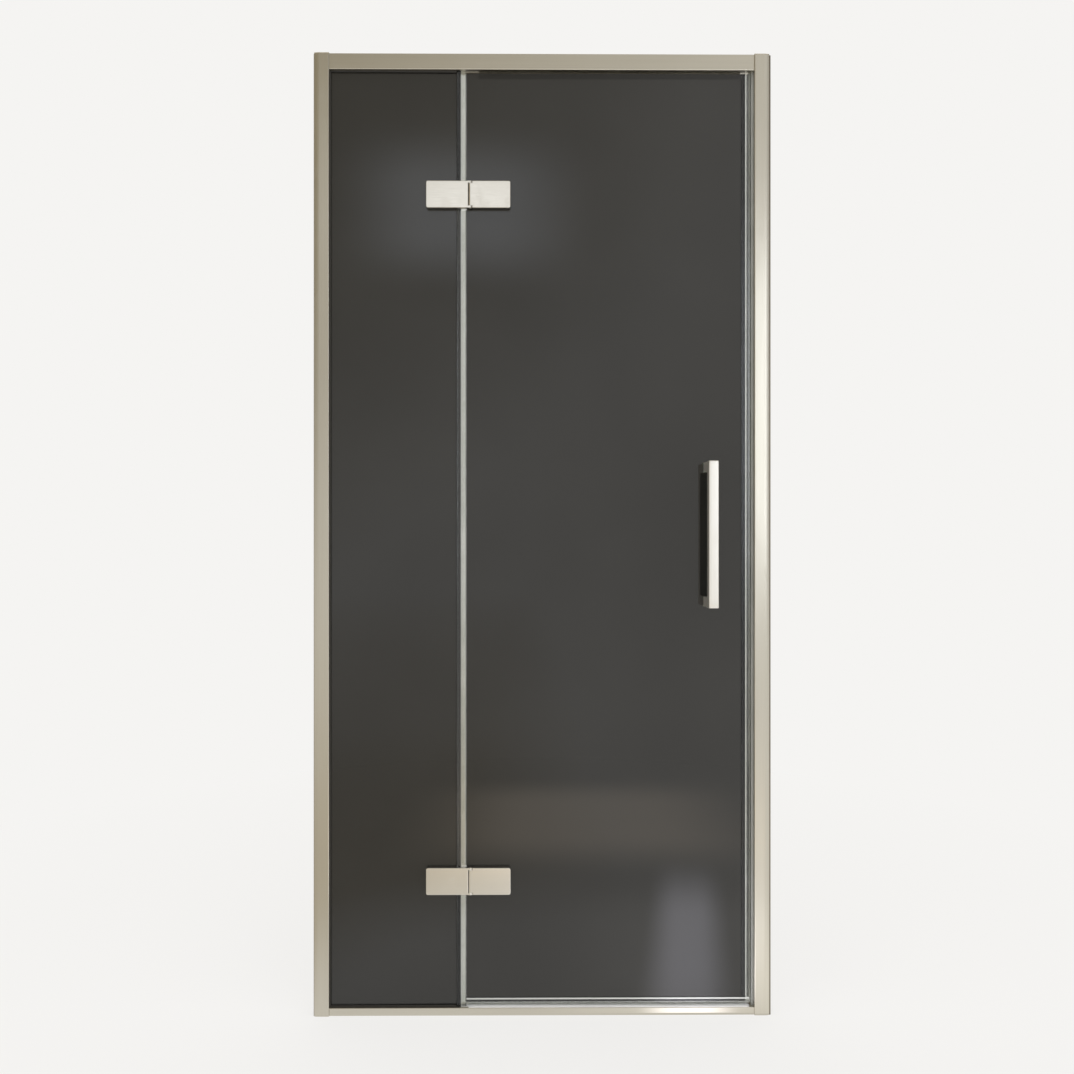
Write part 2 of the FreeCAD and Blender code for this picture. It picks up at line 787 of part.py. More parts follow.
def build_hinges():
    panel_gasket_x = (panel_plate_end + hinge_gasket_inset, panel_edge - hinge_gasket_inset)
    door_gasket_x = (door_left + hinge_gasket_inset, door_plate_end - hinge_gasket_inset)
    panel_back = make_back_plate(panel_plate_end, panel_edge, panel_plate_end, panel_clamp_x)
    door_back = make_back_plate(door_left, door_plate_end, door_plate_end, door_clamp_x)
    panel_gaskets = make_clamp_gaskets(*panel_gasket_x, panel_clamp_x)
    door_gaskets = make_clamp_gaskets(*door_gasket_x, door_clamp_x)
    for name, z in hinge_heights.items():
        save(name + "_panel_hinge_plate", at_height(make_panel_plate(), z))
        save(name + "_panel_clamp_plate", at_height(panel_back, z))
        save(name + "_panel_clamp_gaskets", *[at_height(g, z) for g in panel_gaskets])
        save(name + "_hinge_pin", at_height(make_pin(), z))
        save(name + "_door_hinge_plate", at_height(make_door_plate(), z))
        save(name + "_door_clamp_plate", at_height(door_back, z))
        save(name + "_door_clamp_gaskets", *[at_height(g, z) for g in door_gaskets])
        save(name + "_hinge_bushes", *[at_height(b, z) for b in make_bushes()])
    bore = clamp_screw_radius + clamp_screw_clearance
    for side, x in (("panel", panel_clamp_x), ("door", door_clamp_x)):
        points = clamp_points(x)
        save(side + "_clamp_screws", *[make_clamp_screw(x, z) for x, z in points])
        sleeves = [make_sleeve(clamp_glass_hole_radius, bore, x, z) for x, z in points]
        save(side + "_clamp_sleeves", *sleeves)


# ---- seals on the leaf
def build_leaf_seals():
    outer = half_glass + seal_skin
    clip_top = door_bottom + seal_leg + seal_skin
    half_seal = closing_seal_depth / 2
    face = closing_face
    clip = block(door_right - seal_leg, door_right + seal_skin, -outer, outer, clip_top, door_top)
    slot = block(
        door_right - seal_leg - 1, door_right, -half_glass, half_glass, clip_top, door_top
    )
    chamber = block(door_right, face, -half_seal, half_seal, clip_top, door_top)
    hollow = block(
        door_right + seal_skin,
        face - seal_skin - magnet_width,
        seal_skin - half_seal,
        half_seal - seal_skin,
        clip_top,
        door_top,
    )
    magnet = block(
        face - seal_skin - magnet_width,
        face - seal_skin,
        seal_skin - half_seal,
        half_seal - seal_skin,
        clip_top,
        door_top,
    )
    save("closing_seal", cut_all(fuse_all(clip, [chamber]), [slot, hollow, magnet]))
    save("closing_magnet", magnet)

    x0 = door_left
    x1 = jamb_stop_x - 2 * stop_clearance
    web_low = door_bottom - seal_skin
    lip_low = web_low - bottom_seal_web_drop
    clip = block(x0, x1, -outer, outer, web_low, clip_top - seal_skin)
    slot = block(x0 - 1, x1 + 1, -half_glass, half_glass, door_bottom, clip_top)
    lip = block(x0, x1, -seal_skin / 2, seal_skin / 2, lip_low, web_low)
    fin = extrude_x(
        [
            (outer - seal_skin, door_bottom),
            (outer, door_bottom),
            (outer + bottom_fin_reach, lip_low),
            (outer + bottom_fin_reach - seal_skin, lip_low),
            (outer - seal_skin, web_low),
        ],
        x0,
        x1,
    )
    save("bottom_seal", fuse_all(clip, [lip, fin]).cut(slot))


# ---- handles
def make_handle():
    """The outer handle: a square grip on two square posts."""
    half = handle_width / 2
    face = -half_glass - handle_reach
    length = handle_length / 2
    bar = block(-half, half, face, face + handle_width, -length, length)
    posts = []
    for z in (-post_z, post_z):
        posts.append(block(-half, half, face, -handle_foot, z - half, z + half))
    grip = fuse_all(bar, posts)
    rim = [e for e in grip.Edges if e.CenterOfMass.y < -handle_foot - 0.1]
    grip = grip.makeFillet(handle_radius, rim)
    for z in (-post_z, post_z):
        tip = -handle_foot - handle_stud_bite
        grip = grip.cut(rod_y(handle_stud_radius, 0, tip, 0, z))
    return grip


def grub_hole(z, inward):
    """The grub screw of one post, from the post's inner side to the stud."""
    y = handle_foot + handle_stud_bite / 2
    start = z + inward * handle_stud_radius
    low = min(start, start + inward * grub_length)
    return rod_z(grub_radius, 0, y, low, low + grub_length)


def build_handles():
    place = Vector(handle_x, 0, handle_height)

    def placed(shape):
        moved = shape.copy()
        moved.translate(place)
        return moved

    outer = make_handle()
    save("outer_handle", placed(outer))
    stud_end = handle_foot + handle_stud_bite
    studs = [rod_y(handle_stud_radius, 0, -stud_end, stud_end, z) for z in (-post_z, post_z)]
    grubs = [grub_hole(-post_z, 1).cut(studs[0]), grub_hole(post_z, -1).cut(studs[1])]
    half = handle_width / 2
    way = [
        grub_hole(-post_z, 1).fuse(
            rod_z(grub_radius, 0, handle_foot + handle_stud_bite / 2, -post_z, -post_z + half + 1)
        ),
        grub_hole(post_z, -1).fuse(
            rod_z(grub_radius, 0, handle_foot + handle_stud_bite / 2, post_z - half - 1, post_z)
        ),
    ]
    save("inner_handle", placed(cut_all(mirror_y(outer), way)))
    save("handle_studs", *[placed(s) for s in studs])
    save("handle_grub_screws", *[placed(g) for g in grubs])
    washers = []
    sleeves = []
    for z in (-post_z, post_z):
        for near in (-handle_foot, half_glass):
            washer = block(-half, half, near, near + handle_washer, z - half, z + half)
            hole = rod_y(handle_stud_radius, 0, near - 1, near + handle_washer + 1, z)
            washers.append(placed(washer.cut(hole)))
        sleeves.append(placed(make_sleeve(handle_glass_hole_radius, handle_stud_radius, 0, z)))
    save("handle_washers", *washers)
    save("handle_sleeves", *sleeves)


os.makedirs("parts", exist_ok=True)
build_frame()
build_panes()
build_hinges()
build_leaf_seals()
build_handles()
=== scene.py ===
# %% [markdown]
# # A framed shower door, finished in Blender
# The object is a shower front: a narrow fixed pane, a hinged leaf of smoked glass, and an
# aluminium frame with a champagne nickel finish. Its solids arrive from the CAD model in
# metres, each already at its real place. This lesson gives every solid the finish of its real
# material, and models by hand what a plain solid shows badly: soft seals, gaskets, grips,
# covers and the water bar.

# %% Load the frame
import math

import bmesh
import bpy
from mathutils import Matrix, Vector


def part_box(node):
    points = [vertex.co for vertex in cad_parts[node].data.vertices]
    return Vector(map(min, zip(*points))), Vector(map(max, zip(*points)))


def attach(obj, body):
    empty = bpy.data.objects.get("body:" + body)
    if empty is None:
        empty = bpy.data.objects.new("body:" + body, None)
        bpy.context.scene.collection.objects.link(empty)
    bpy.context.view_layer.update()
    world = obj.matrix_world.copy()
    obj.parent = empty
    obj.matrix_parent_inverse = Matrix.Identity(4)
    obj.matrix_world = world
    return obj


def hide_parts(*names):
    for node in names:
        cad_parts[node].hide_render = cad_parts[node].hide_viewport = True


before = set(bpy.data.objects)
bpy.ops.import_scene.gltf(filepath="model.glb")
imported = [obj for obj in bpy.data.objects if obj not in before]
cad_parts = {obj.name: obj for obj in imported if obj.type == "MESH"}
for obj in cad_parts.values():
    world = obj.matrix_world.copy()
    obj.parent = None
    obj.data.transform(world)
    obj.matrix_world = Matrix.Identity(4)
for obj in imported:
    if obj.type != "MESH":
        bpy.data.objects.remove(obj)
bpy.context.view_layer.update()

node_count = len(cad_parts)
print("CAD nodes:", node_count)

# %% [markdown]
# ## Units and places
# Sizes on a drawing of a door are in millimetres, and Blender works in metres. One factor
# turns one into the other. Where a piece sits is never typed in: it is read from the box of
# the CAD node that it stands for, so it stays right if the door is made wider or taller.

# %% Millimetres, and the box of a node
mm = 0.001


def node_box(name):
    """The lowest and highest corner of a CAD node, as two vectors."""
    low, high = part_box(name)
    return Vector(low), Vector(high)


panel_edge = node_box("fixed_glass")[1].x
leaf_low, leaf_high = node_box("door_glass")
print("leaf, mm:", [round(side / mm, 1) for side in leaf_high - leaf_low])

# %% [markdown]
# ## The camera
# The photograph was taken square on, with the lens at about half the door's height. Two
# edges of known length, the frame's width and height, give the distance, and the parallel
# sides show that the camera wasn't tilted. So the camera is set straight from these numbers.

# %% Put the camera at the photograph's place
sensor_mm = 36
lens_mm = 30.67
camera_place = (-0.0233, -1.916, 0.9947)
upright_degrees = 90
turned_degrees = -0.357

camera_data = bpy.data.cameras.new("front camera")
camera_data.sensor_width = sensor_mm
camera_data.lens = lens_mm
camera = bpy.data.objects.new("front camera", camera_data)
camera.location = camera_place
camera.rotation_euler = (math.radians(upright_degrees), 0, math.radians(turned_degrees))
bpy.context.scene.collection.objects.link(camera)
bpy.context.scene.camera = camera
bpy.context.scene.view_settings.view_transform = "Standard"
print("camera distance, m:", round(-camera.location.y, 3))

# %% [markdown]
# ## Colours and nodes
# A colour picked from a picture is an sRGB hex value, but a shader works with linear light,
# so one function turns the first into the second. A material is a tree of nodes, and typing
# each one out hides the idea behind it. One small function adds a node, sets its values and
# links its inputs, and the rest of the lesson is written with it.

# %% Helpers for every material


def colour(hex_value):
    """An sRGB hex value as linear red, green, blue and alpha."""
    parts = [int(hex_value[i:i + 2], 16) / 255 for i in (1, 3, 5)]
    linear = [p / 12.92 if p <= 0.04045 else ((p + 0.055) / 1.055) ** 2.4 for p in parts]
    return (*linear, 1.0)


def add_node(tree, kind, settings=None, links=None):
    """Adds a node. Settings are its inputs or its own properties, and links feed its inputs."""
    node = tree.nodes.new(kind)
    for key, value in (settings or {}).items():
        if isinstance(key, int) or key in node.inputs:
            node.inputs[key].default_value = value
        else:
            setattr(node, key, value)
    for key, source in (links or {}).items():
        tree.links.new(source, node.inputs[key])
    return node


def empty_tree(holder):
    """The node tree of a material, world or lamp, without the nodes that it comes with."""
    holder.use_nodes = True
    holder.node_tree.nodes.clear()
    return holder.node_tree


def new_finish(name, settings):
    """A material with one Principled shader, whose constants sit on its own sockets."""
    material = bpy.data.materials.new(name)
    tree = empty_tree(material)
    shader = add_node(tree, "ShaderNodeBsdfPrincipled", settings)
    add_node(tree, "ShaderNodeOutputMaterial", links={"Surface": shader.outputs["BSDF"]})
    place = add_node(tree, "ShaderNodeTexCoord").outputs["Object"]
    return material, tree, shader, place


print("mid grey, linear:", round(colour("#808080")[0], 3))

# %% [markdown]
# ## Patterns that the finishes share
# Most finishes here are a base colour that drifts a little, a roughness that drifts with it,
# and a surface that isn't quite flat. All three can come from noise whose cells have a real
# size. Texture space is in metres, so a cell of 2 mm needs 500 cells to the metre, and a
# long cell along one axis becomes a brushed or drawn line.
#
# What a pattern does is written as a fall: while the pattern goes from start to end, the fall
# goes from low to high, and beyond them it stays level. Falls that are multiplied give the
# share of a second colour, and falls that are added up give a roughness. Noise is seldom
# below 0.3 or above 0.7, so most falls run over that span.

# %% Noise with cells of a real size, and what follows it
span = (0.3, 0.7)


def cells(tree, place, size_mm, detail=2.0):
    """Noise whose cells are size_mm long on X, Y and Z."""
    scale = [1 / (side * mm) for side in size_mm]
    spread = add_node(tree, "ShaderNodeMapping", {"Scale": scale}, {"Vector": place})
    settings = {"Scale": 1.0, "Detail": detail, "Roughness": 0.55}
    noise = add_node(tree, "ShaderNodeTexNoise", settings, {"Vector": spread.outputs["Vector"]})
    return noise.outputs["Fac"]


def long_cells(size_mm, axis, length_mm):
    """The size of cells that are long on one axis and size_mm on the others."""
    size = [size_mm] * 3
    size["XYZ".index(axis)] = length_mm
    return size


def follow(tree, operation, falls, value=None):
    """Joins falls, each a pattern, its start and end, and the low and high it then gives."""
    for pattern, start, end, low, high in falls:
        settings = {"From Min": start, "From Max": end, "To Min": low, "To Max": high}
        fall = add_node(tree, "ShaderNodeMapRange", settings, {"Value": pattern}).outputs[0]
        if value is None:
            value = fall
        else:
            links = {0: value, 1: fall}
            value = add_node(tree, "ShaderNodeMath", {"operation": operation}, links).outputs[0]
    return value


def toned(tree, first, second, *falls, seen_by=None):
    """The first colour, turned towards the second as far as the falls say."""
    settings = {"data_type": "RGBA", 7: colour(second)}
    links = {0: follow(tree, "MULTIPLY", falls, seen_by)}
    if isinstance(first, str):
        settings[6] = colour(first)
    else:
        links[6] = first
    return add_node(tree, "ShaderNodeMix", settings, links).outputs[2]


def surface(tree, shader, tone, height, depth_mm, *falls):
    """Gives a shader its tone, its falls as roughness, and a relief up to depth_mm high."""
    settings = {"Strength": 1.0, "Distance": depth_mm * mm}
    relief = add_node(tree, "ShaderNodeBump", settings, {"Height": height})
    tree.links.new(tone, shader.inputs["Base Color"])
    tree.links.new(follow(tree, "ADD", falls), shader.inputs["Roughness"])
    tree.links.new(relief.outputs["Normal"], shader.inputs["Normal"])


print("cells of 2 mm to the metre:", round(1 / (2 * mm)))

# %% [markdown]
# ## Brushed nickel
# The frame is drawn aluminium, brushed along its length and anodised to a warm champagne
# nickel. The hinges and grips are solid metal with the same brushed plating. What the eye
# gets is a metal colour, a highlight that spreads across the brushing, and a very fine grain.
# The grain could be bump alone, but it mostly shows as a change in roughness, so it feeds
# colour, roughness and bump together. Real scratches are 0.1 mm wide, too fine to show at
# this distance, so they are drawn half a millimetre wide. Slower patterns lie over the grain:
# the streaks of the anodising bath, a drift from one end to the other, and the spots that
# hands have dulled.

# %% Brushed metal along one axis
streak_mm = 9.0
streak_length_mm = 700.0
drift_mm = 320.0
touch_mm = (45.0, 45.0, 70.0)
grain_share = 0.3
streak_share = 0.2
drift_share = 0.25
brushing_depth_mm = 0.003


def brushed_metal(name, base, deep, axis, roughness, grain_mm=0.6, length_mm=160.0):
    """A metal brushed along one axis. The grain is the fine pattern, the drift the slow one."""
    settings = {"Metallic": 1.0, "Anisotropic": 0.45}
    material, tree, shader, place = new_finish(name, settings)
    grain = cells(tree, place, long_cells(grain_mm, axis, length_mm), 3.0)
    streak = cells(tree, place, long_cells(streak_mm, axis, streak_length_mm))
    drift = cells(tree, place, [drift_mm] * 3)
    touched = cells(tree, place, touch_mm, 4.0)
    tone = base
    for pattern, most in ((grain, grain_share), (streak, streak_share), (drift, drift_share)):
        tone = toned(tree, tone, deep, (pattern, *span, 0.0, most))
    brushed = (grain, *span, roughness - 0.02, roughness + 0.04)
    dulled = (touched, 0.55, 0.75, 0.0, 0.05)
    surface(tree, shader, tone, grain, brushing_depth_mm, brushed, dulled)
    return material


nickel = "#D0CBBE"
deep_nickel = "#BEB8A9"
frame_upright = brushed_metal("anodised aluminium, upright", nickel, deep_nickel, "Z", 0.30)
frame_level = brushed_metal("anodised aluminium, level", nickel, deep_nickel, "X", 0.30)
hinge_metal = brushed_metal(
    "nickel plated brass", "#DDD9D0", "#D5D0C6", "X", 0.22, grain_mm=0.5, length_mm=40.0
)
grip_metal = brushed_metal(
    "nickel plated steel", "#F1EEE7", "#E5E1D7", "Z", 0.42, grain_mm=0.6, length_mm=60.0
)
# The wall channels are the frame's champagne aluminium, but their two tones are much darker:
# painted shade, for the channels that sit back beside the stiles.
shaded_channel_metal = brushed_metal("anodised aluminium, darkened for shade", "#857C70", "#6C6457", "Z", 0.42)
print("brushed metals made")

# %% [markdown]
# ## White bar and steel
# The water bar is anodised to a satin white. Its oxide layer hides nearly all of the metal,
# so the eye gets a pale bar with a soft shine and faint drawing lines, and the shader is
# hardly metallic. Screws and pins are stainless steel, turned on a lathe and left bare: all
# metal, with a fine mottle.

# %% Satin white bar, stainless steel


def plain_metal(name, base, deep, roughness, cell_mm, metallic=1.0):
    """A metal with a fine mottle or drawing lines, the size of its cells."""
    material, tree, shader, place = new_finish(name, {"Metallic": metallic})
    mottle = cells(tree, place, cell_mm, 3.0)
    tone = toned(tree, base, deep, (mottle, *span, 0.0, 1.0))
    uneven = (mottle, *span, roughness - 0.03, roughness + 0.08)
    surface(tree, shader, tone, mottle, 0.006, uneven)
    return material


bright_bar = plain_metal(
    "satin white anodised aluminium", "#F8F8F6", "#F1F0EE", 0.42, [120, 2, 2], metallic=0.05
)
steel = plain_metal("stainless steel, turned", "#B9B7B2", "#99968F", 0.26, [0.8, 0.8, 0.8])
print("plain metals made")

# %% [markdown]
# ## Smoked glass
# The panes are toughened glass, dyed grey-brown through and through, 8 mm thick. So little
# light gets through that they look almost black-grey, and much of what the eye sees is the
# soft reflection of the room. Toughening rolls the hot glass over rollers, which leaves
# waves about 250 mm long: a straight reflection in it is never quite straight. A film of
# cleaning marks makes the gloss a little uneven.

# %% Smoked toughened glass
dye_drift_mm = [420.0] * 3
wipe_mm = [140.0, 140.0, 38.0]
roller_wave_mm = [900.0, 900.0, 250.0]
roller_wave_depth_mm = 0.12

glass_settings = {"Transmission Weight": 0.6, "IOR": 1.5, "Specular IOR Level": 0.3}
smoked_glass, tree, shader, place = new_finish("smoked toughened glass", glass_settings)
drift = cells(tree, place, dye_drift_mm)
tint = toned(tree, "#3D3C39", "#363532", (drift, *span, 0.0, 1.0))
wiped = cells(tree, place, wipe_mm, 4.0)
waves = cells(tree, place, roller_wave_mm, 0.0)
surface(tree, shader, tint, waves, roller_wave_depth_mm, (wiped, 0.4, 0.7, 0.015, 0.06))
print("glass made")

# %% [markdown]
# ## Clear vinyl
# The seals are soft clear PVC, pushed through a die that leaves fine lines along its length.
# A thin wall lets nearly all light through and reads as light grey with bright edges, so its
# transmission is close to 1. In the jamb profile light crosses one wall after another, so it
# looks milkier, and the soft lips are a vinyl that is milky all through.

# %% Clear vinyl drawn along one axis
die_line_mm = 0.9
die_line_length_mm = 220.0
cloud_mm = 60.0


def clear_vinyl(name, axis, base, deep, through):
    """Vinyl drawn along one axis, through being the share of the light that passes."""
    settings = {"Transmission Weight": through, "IOR": 1.53, "Specular IOR Level": 0.3}
    material, tree, shader, place = new_finish(name, settings)
    die_lines = cells(tree, place, long_cells(die_line_mm, axis, die_line_length_mm))
    cloud = cells(tree, place, [cloud_mm] * 3, 3.0)
    tone = toned(tree, base, deep, (cloud, *span, 0.0, 1.0))
    surface(tree, shader, tone, die_lines, 0.003, (die_lines, *span, 0.14, 0.26))
    return material


vinyl_upright = clear_vinyl("clear PVC, drawn upright", "Z", "#E3E4E0", "#D7D9D4", 0.99)
vinyl_level = clear_vinyl("clear PVC, drawn level", "X", "#E3E4E0", "#D7D9D4", 0.96)
vinyl_thick = clear_vinyl("clear PVC, thick walled", "Z", "#D9DAD3", "#CBCCC4", 0.55)
vinyl_lip = clear_vinyl("soft milky PVC lip", "X", "#E9EAE5", "#DEDFD9", 0.12)
print("vinyl made")

# %% [markdown]
# ## Rubber, nylon and moulded plastic
# The glazing gasket is black EPDM rubber, matt and a little dusty. The magnets are ferrite
# powder in light grey rubber. Sleeves, bushes and packers are natural nylon, slightly
# see-through at the edges. The caps are ABS moulded in the frame's colour, with the fine
# pimples that a spark-eroded mould leaves. One function makes all four from two tones.

# %% Matt materials
dust_mm = 35.0


def matt(name, base, deep, roughness, pimple_mm, depth_mm, settings=None):
    """A matt material in two tones, with pimples of a real size under a film of dust."""
    material, tree, shader, place = new_finish(name, settings or {})
    fine = cells(tree, place, [pimple_mm] * 3, 3.0)
    dust = cells(tree, place, [dust_mm] * 3, 4.0)
    tone = toned(tree, base, deep, (fine, *span, 0.0, 0.5))
    tone = toned(tree, tone, base, (dust, 0.45, 0.75, 0.0, 0.3))
    dusty = (dust, *span, roughness - 0.06, roughness + 0.08)
    surface(tree, shader, tone, fine, depth_mm, dusty)
    return material


rubber = matt("black EPDM rubber", "#302D28", "#211F1B", 0.62, 0.7, 0.03)
magnet = matt("ferrite rubber magnet", "#BBBBB2", "#A6A69D", 0.55, 1.2, 0.02)
milky = {"Subsurface Weight": 0.25, "Subsurface Scale": 2 * mm}
nylon = matt("natural nylon", "#DFDBCF", "#CFCABB", 0.42, 2.0, 0.01, milky)
abs_plastic = matt("moulded ABS", "#ADA390", "#A0967F", 0.48, 0.5, 0.02)
print("matt materials made")

# %% [markdown]
# ## Dress the solids whose shape is right
# Drawn profiles, panes, hinge plates and screws are simple exact shapes, and CAD already has
# them. They keep their mesh, and only their material slots are filled. A short table says
# which finish goes on which node, and the nodes that the modelled pieces replace are left
# for later.

# %% Give each CAD node its finish
nylon_nodes = ["setting_blocks", "edge_packers", "handle_washers", "handle_sleeves"]
nylon_nodes += ["panel_clamp_sleeves", "door_clamp_sleeves"]
steel_nodes = ["corner_screws", "stile_screws", "panel_clamp_screws", "door_clamp_screws"]
steel_nodes += ["handle_studs", "handle_grub_screws"]
nodes_in = (
    (frame_level, ("top_rail", "bottom_rail", "top_stop_profile")),
    (smoked_glass, ("fixed_glass", "door_glass")),
    (magnet, ("jamb_magnet", "closing_magnet")),
    (nylon, nylon_nodes),
    (steel, steel_nodes),
)
finish_of = {name: finish for finish, names in nodes_in for name in names}
for side in ("left", "right"):
    finish_of["stile_" + side] = frame_upright
    finish_of["wall_channel_" + side] = shaded_channel_metal
    finish_of["stile_cap_" + side] = abs_plastic
for height in ("lower", "upper"):
    for side in ("panel", "door"):
        finish_of[height + "_" + side + "_hinge_plate"] = hinge_metal
        finish_of[height + "_" + side + "_clamp_plate"] = hinge_metal
        finish_of[height + "_" + side + "_clamp_gaskets"] = rubber
    finish_of[height + "_hinge_pin"] = steel
    finish_of[height + "_hinge_bushes"] = nylon

for name, finish in finish_of.items():
    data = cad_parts[name].data
    data.materials.clear()
    data.materials.append(finish)
print("dressed", len(finish_of), "of", node_count, "CAD nodes")

# %% [markdown]
# ## Modelling by hand
# Every modelled piece starts from a primitive at its real size and place, is shaped in edit
# mode, and is finished with modifiers. Two things repeat each time: everything is deselected
# before a primitive is added, and the part to be shaped is then selected by its place or its
# direction. Helpers for these keep the later cells short.

# %% Helpers that start and finish a piece
smooth_below = math.radians(35)


def settle():
    """Puts the place, turn and scale of the active piece into its mesh."""
    bpy.ops.object.transform_apply(location=True, rotation=True, scale=True)


def make_active(piece):
    """Selects one piece alone."""
    bpy.ops.object.select_all(action="DESELECT")
    piece.select_set(True)
    bpy.context.view_layer.objects.active = piece


def add_box(name, low, high):
    """A box from one corner to the other, left in edit mode with all of it selected."""
    bpy.ops.object.select_all(action="DESELECT")
    middle = (Vector(low) + Vector(high)) / 2
    bpy.ops.mesh.primitive_cube_add(size=1, location=middle, scale=Vector(high) - Vector(low))
    piece = bpy.context.object
    piece.name = piece.data.name = name
    settle()
    bpy.ops.object.mode_set(mode="EDIT")
    return piece


def add_plane(name, middle, size, turn):
    """A flat rectangle, left in edit mode. Its size is 1 along the way it faces."""
    bpy.ops.object.select_all(action="DESELECT")
    bpy.ops.mesh.primitive_plane_add(size=1, rotation=turn)
    piece = bpy.context.object
    piece.name = piece.data.name = name
    settle()
    piece.scale = size
    piece.location = middle
    settle()
    bpy.ops.object.mode_set(mode="EDIT")
    return piece


def add_outline(name, low, high, turn=(0, 0, 0)):
    """The outline of a flat rectangle, corner to corner, without its face, in edit mode."""
    size = [side or 1.0 for side in Vector(high) - Vector(low)]
    piece = add_plane(name, (Vector(low) + Vector(high)) / 2, size, turn)
    bpy.ops.mesh.delete(type="ONLY_FACE")
    return piece


def copy_of(piece, name):
    """A copy with its own mesh, selected alone."""
    twin = piece.copy()
    twin.data = piece.data.copy()
    twin.name = twin.data.name = name
    bpy.context.scene.collection.objects.link(twin)
    make_active(twin)
    return twin


def leave_edit():
    """Closes edit mode with the faces pointing outwards."""
    bpy.ops.mesh.select_all(action="SELECT")
    bpy.ops.mesh.normals_make_consistent(inside=False)
    bpy.ops.object.mode_set(mode="OBJECT")


def apply_modifier(piece, kind, **settings):
    """Gives the active piece a modifier with these settings, and applies it."""
    modifier = piece.modifiers.new(kind.lower(), kind)
    for key, value in settings.items():
        setattr(modifier, key, value)
    bpy.ops.object.modifier_apply(modifier=modifier.name)


def hand_over(piece, finish, slot, body, *stands_for):
    """Smooths a piece, gives it its finish, and hangs it on its body in place of its nodes."""
    make_active(piece)
    bpy.ops.object.shade_smooth_by_angle(angle=smooth_below)
    piece.data.materials.clear()
    piece.data.materials.append(finish)
    if stands_for:
        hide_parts(*stands_for)
    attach(piece, body)
    size = [round(side / mm, 1) for side in piece.dimensions]
    print(piece.name, "mm:", size, "faces:", len(piece.data.polygons))


print("smooth below, degrees:", round(math.degrees(smooth_below)))

# %% [markdown]
# The other helpers shape a piece in edit mode. One selects by place and direction, which
# reads like a sentence and doesn't break when a count of vertices changes. A direction counts
# as along an axis when its share on that axis is above 0.9. The others pull the selection
# out, cut everything along a plane, and tell whether two lengths are the same.

# %% Helpers that shape a piece
same_within = 0.05 * mm
along = 0.9


def near(value, target):
    """Whether two lengths are the same, but for rounding."""
    return abs(value - target) < same_within


def pick(kind, test):
    """Selects the vertices, edges or faces whose middle and direction pass the test."""
    modes = ("VERT", "EDGE", "FACE")
    bpy.context.tool_settings.mesh_select_mode = [kind == mode for mode in modes]
    bpy.ops.mesh.select_all(action="DESELECT")
    shape = bmesh.from_edit_mesh(bpy.context.object.data)
    shape.normal_update()
    items = {"VERT": shape.verts, "EDGE": shape.edges, "FACE": shape.faces}[kind]
    for item in items:
        if kind == "VERT":
            middle, way = item.co, item.normal
        elif kind == "EDGE":
            first, second = (corner.co for corner in item.verts)
            middle, way = (first + second) / 2, (second - first).normalized()
        else:
            middle, way = item.calc_center_median(), item.normal
        if test(middle, way):
            item.select_set(True)
    shape.select_flush_mode()
    bmesh.update_edit_mesh(bpy.context.object.data)


def pull(x=0.0, y=0.0, z=0.0):
    """Extrudes what is selected by this much."""
    bpy.ops.mesh.extrude_region_move(TRANSFORM_OT_translate={"value": (x, y, z)})


def pull_all(**way):
    """Extrudes everything by this much."""
    bpy.ops.mesh.select_all(action="SELECT")
    pull(**way)


def cut(place, way, **settings):
    """Cuts everything along the plane through a place that is square to a direction."""
    bpy.ops.mesh.select_all(action="SELECT")
    bpy.ops.mesh.bisect(plane_co=place, plane_no=way, **settings)


print("lengths are the same within, mm:", same_within / mm)

# %% [markdown]
# ## The grips
# Each grip is a square bar on two square posts, welded, ground flush and brushed, with its
# edges eased to about 1.5 mm. It could be swept along a path, but a square section with
# sharp corners is simpler as a box: mark the two posts with cuts, pull them to the
# glass, and bevel every edge except those at the feet. The grip inside has a hole in each
# post for the grub screw that holds it to the stud.

# %% Model both grips
grip_side = 20 * mm
edge_ease = 1.5 * mm
sharp_above = math.radians(30)


def model_grip(name, node, outwards):
    """A grip, outwards being -1 for the one outside and 1 for the one in the shower."""
    low, high = node_box(node)
    foot = high.y if outwards < 0 else low.y
    face = low.y if outwards < 0 else high.y
    inner = face - outwards * grip_side
    bar_y = sorted((face, inner))
    piece = add_box(name, (low.x, bar_y[0], low.z), (high.x, bar_y[1], high.z))
    for height in (low.z + grip_side, high.z - grip_side):
        cut((0, 0, height), (0, 0, 1))
    middle = (low.z + high.z) / 2
    reach = (high.z - low.z) / 2 - grip_side
    pick("FACE", lambda at, way: way.y * outwards < -along and abs(at.z - middle) > reach)
    pull(y=foot - inner)
    bpy.ops.mesh.select_all(action="DESELECT")
    bpy.ops.mesh.edges_select_sharp(sharpness=sharp_above)
    shape = bmesh.from_edit_mesh(piece.data)
    for edge in shape.edges:
        if all(near(corner.co.y, foot) for corner in edge.verts):
            edge.select_set(False)
    bmesh.update_edit_mesh(piece.data)
    bpy.ops.mesh.bevel(offset=edge_ease, segments=4, affect="EDGES", clamp_overlap=True)
    leave_edit()
    return piece


outer_grip = model_grip("outer_grip", "outer_handle", -1)
hand_over(outer_grip, grip_metal, "handle_nickel", "door", "outer_handle")
inner_grip = model_grip("inner_grip", "inner_handle", 1)

# %% [markdown]
# A hole in a solid is quickest as a cutter and a Boolean. The cutter is a cylinder that
# starts inside the post, so only its mouth shows.

